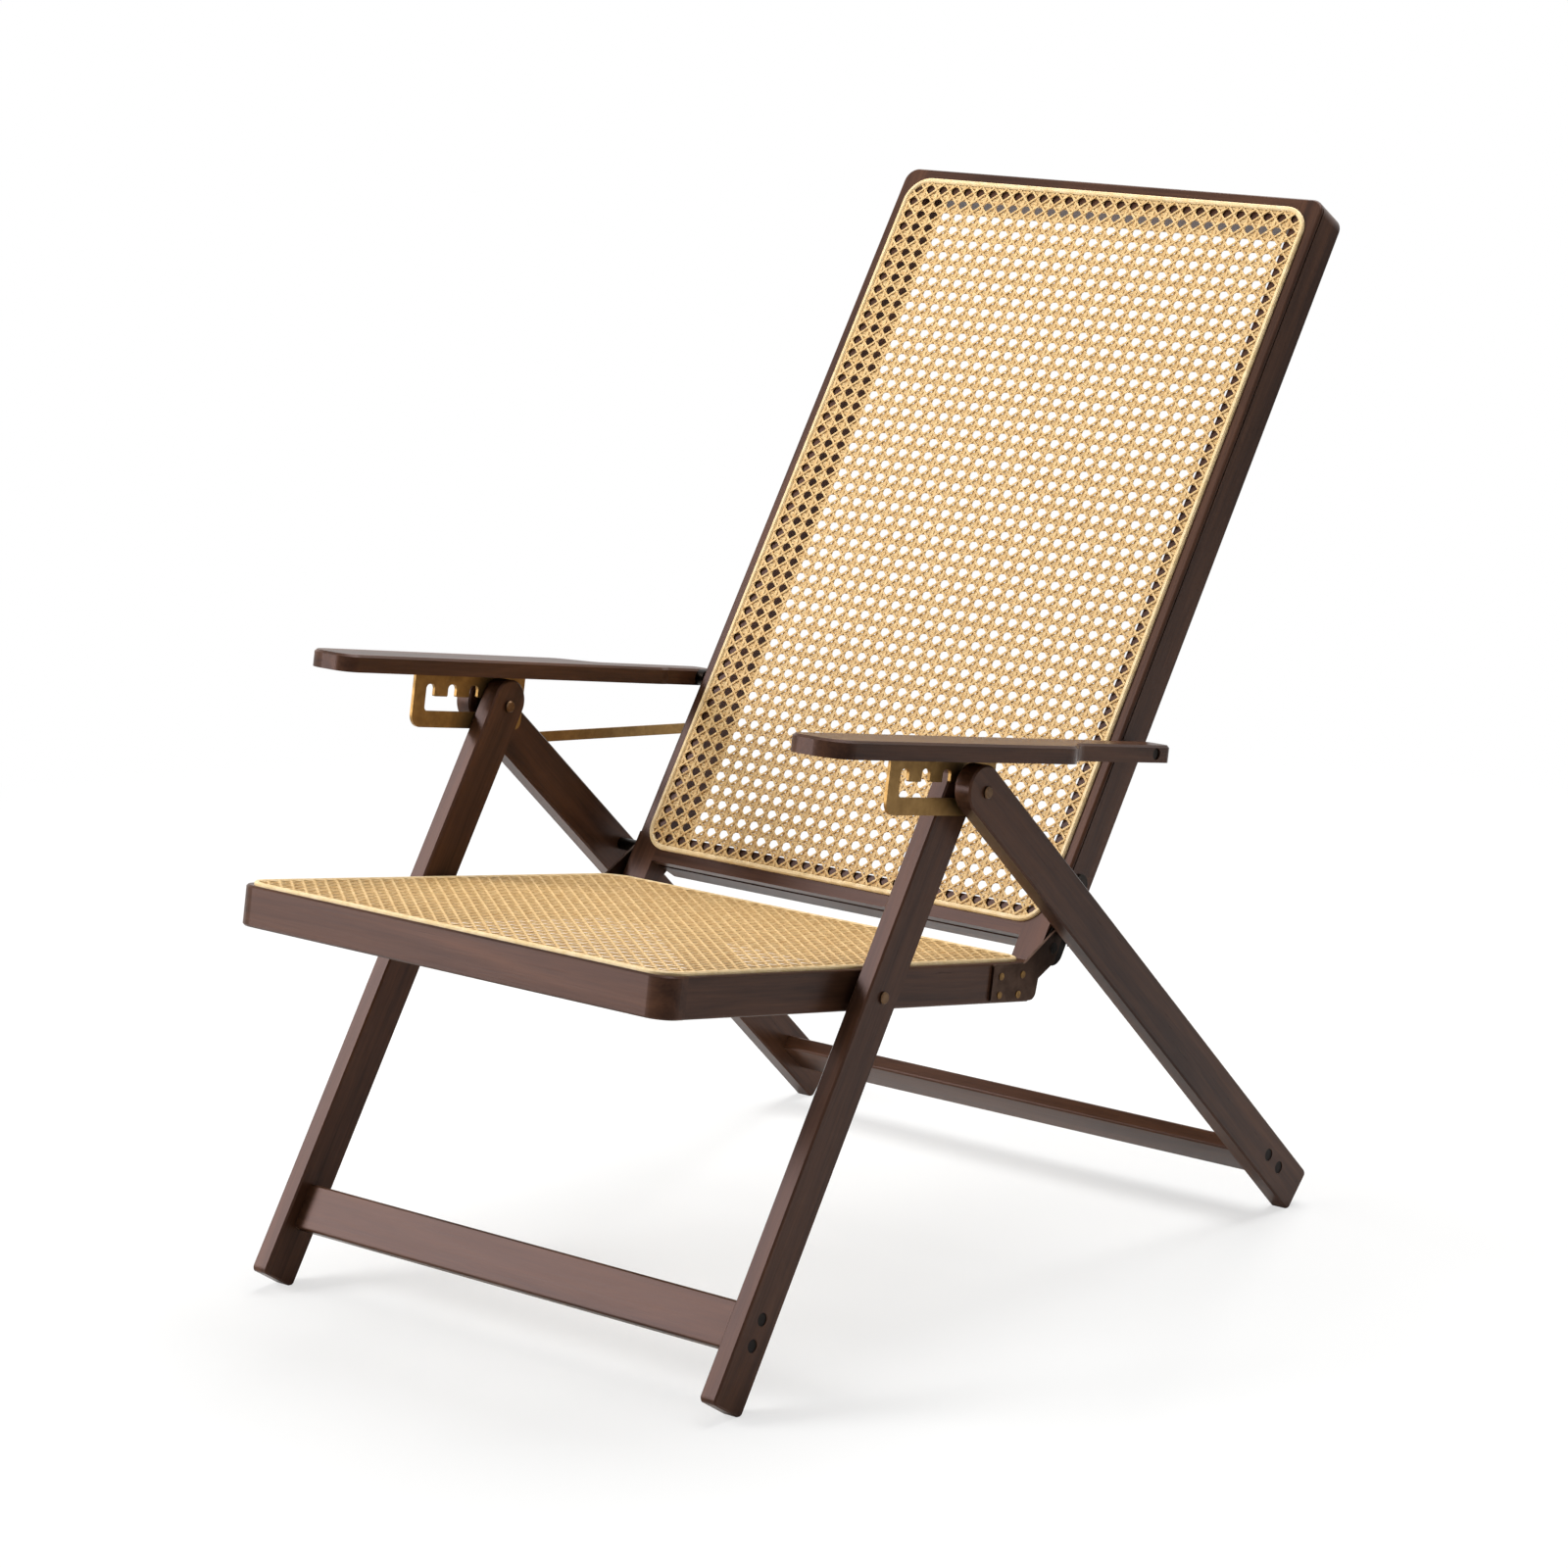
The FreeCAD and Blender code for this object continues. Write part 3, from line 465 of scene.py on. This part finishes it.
paint(mottled("dark_plug", "0d0a08", "1a1310", 150.0, (0.5, 0.6), shine=0.12),
      "front_bar_dowels", "rear_bar_dowels")
print("fittings painted")

# %% [markdown]
# The photograph has a plain white ground with a soft shadow. A wide pale floor catches the shadow
# near the chair, and farther off it fades to plain white for the camera. The world is white to the
# camera and to reflections, but lights the chair at a lower level. A key lamp stands left of the camera,
# a low one beside it puts the sheen on the front rail, a top lamp behind keeps the shadow under the
# chair, and a weak fill stands on the right.

# %% Floor, world and lights
nothing_selected()
bpy.ops.mesh.primitive_plane_add(size=40.0, location=(0, 0, 0))
ground = bpy.context.object
ground.name = "floor"
ground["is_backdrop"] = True
pale = bpy.data.materials.new("pale_floor")
pale.use_nodes = True
cover = pale.node_tree
matt = cover.nodes["Principled BSDF"]
matt.inputs["Base Color"].default_value = (0.9, 0.9, 0.89, 1)
matt.inputs["Roughness"].default_value = 0.9
matt.inputs["Specular IOR Level"].default_value = 0.1
white = node(cover, "ShaderNodeEmission", Color=(1, 1, 1, 1), Strength=1.0)
looked_at = cover.nodes.new("ShaderNodeLightPath")
spot = cover.nodes.new("ShaderNodeTexCoord")
away = cover.nodes.new("ShaderNodeVectorMath")
away.operation = "LENGTH"
fade = node(cover, "ShaderNodeMapRange", From_Min=0.6, From_Max=2.2, To_Min=0.62, To_Max=1.0)
share = cover.nodes.new("ShaderNodeMath")
share.operation = "MULTIPLY"
both_ways = cover.nodes.new("ShaderNodeMixShader")
cover.links.new(spot.outputs["Object"], away.inputs[0])
cover.links.new(away.outputs["Value"], fade.inputs["Value"])
cover.links.new(fade.outputs[0], share.inputs[0])
cover.links.new(looked_at.outputs["Is Camera Ray"], share.inputs[1])
cover.links.new(share.outputs[0], both_ways.inputs["Fac"])
cover.links.new(matt.outputs[0], both_ways.inputs[1])
cover.links.new(white.outputs[0], both_ways.inputs[2])
cover.links.new(both_ways.outputs[0], cover.nodes["Material Output"].inputs["Surface"])
ground.data.materials.append(pale)

world = bpy.data.worlds.new("studio")
bpy.context.scene.world = world
world.use_nodes = True
sky = world.node_tree
path = sky.nodes.new("ShaderNodeLightPath")
seen = sky.nodes.new("ShaderNodeMath")
seen.operation = "MAXIMUM"
seen_all = sky.nodes.new("ShaderNodeMath")
seen_all.operation = "MAXIMUM"
level = node(sky, "ShaderNodeMapRange", To_Min=0.19, To_Max=1.0)
sky.links.new(path.outputs["Is Camera Ray"], seen.inputs[0])
sky.links.new(path.outputs["Is Glossy Ray"], seen.inputs[1])
sky.links.new(seen.outputs[0], seen_all.inputs[0])
sky.links.new(path.outputs["Is Transmission Ray"], seen_all.inputs[1])
sky.links.new(seen_all.outputs[0], level.inputs["Value"])
sky.links.new(level.outputs[0], sky.nodes["Background"].inputs["Strength"])
sky.nodes["Background"].inputs["Color"].default_value = (1, 1, 1, 1)


def lamp(name, place, aim, size, power):
    data = bpy.data.lights.new(name, "AREA")
    data.size = size
    data.energy = power
    made = bpy.data.objects.new(name, data)
    bpy.context.scene.collection.objects.link(made)
    made.location = place
    made.rotation_euler = (Vector(aim) - Vector(place)).to_track_quat("-Z", "Y").to_euler()


lamp("key", (-3.8, -3.5, 3.2), (0, -0.1, 0.4), 2.6, 242.0)
lamp("front", (-3.4, -4.4, 1.0), (0, -0.3, 0.35), 1.6, 85.0)
lamp("top", (-0.2, 1.2, 3.3), (0, 0, 0.4), 2.6, 140.0)
lamp("fill", (4.0, -1.5, 2.5), (0, 0, 0.5), 3.0, 4.0)
print("floor, world and four lamps set")

# %% [markdown]
# The camera stands where the photographer stood: it was worked out from the chair's own corners,
# as a distance, a height and a lens, with the picture's centre as the lens axis. Its place is
# measured from the pin where the legs cross.

# %% Camera
low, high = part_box("apex_pin_left")
crossing = (low.y + high.y) / 2
camera_place = Vector((2.80365, crossing - 3.24570, 1.42297))
camera_aim = Vector((0.0, crossing + 0.09166, 0.44235))
eye = bpy.data.cameras.new("camera")
eye.sensor_width = 36.0
eye.lens = 110.88
camera = bpy.data.objects.new("camera", eye)
bpy.context.scene.collection.objects.link(camera)
camera.location = camera_place
camera.rotation_euler = (camera_aim - camera_place).to_track_quat("-Z", "Y").to_euler()
bpy.context.scene.camera = camera
print("camera distance, metres:", round((camera_place - camera_aim).length, 3))

# %% [markdown]
# Last, the bounds of the dressed chair are measured.

# %% Size of the dressed chair
low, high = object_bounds()
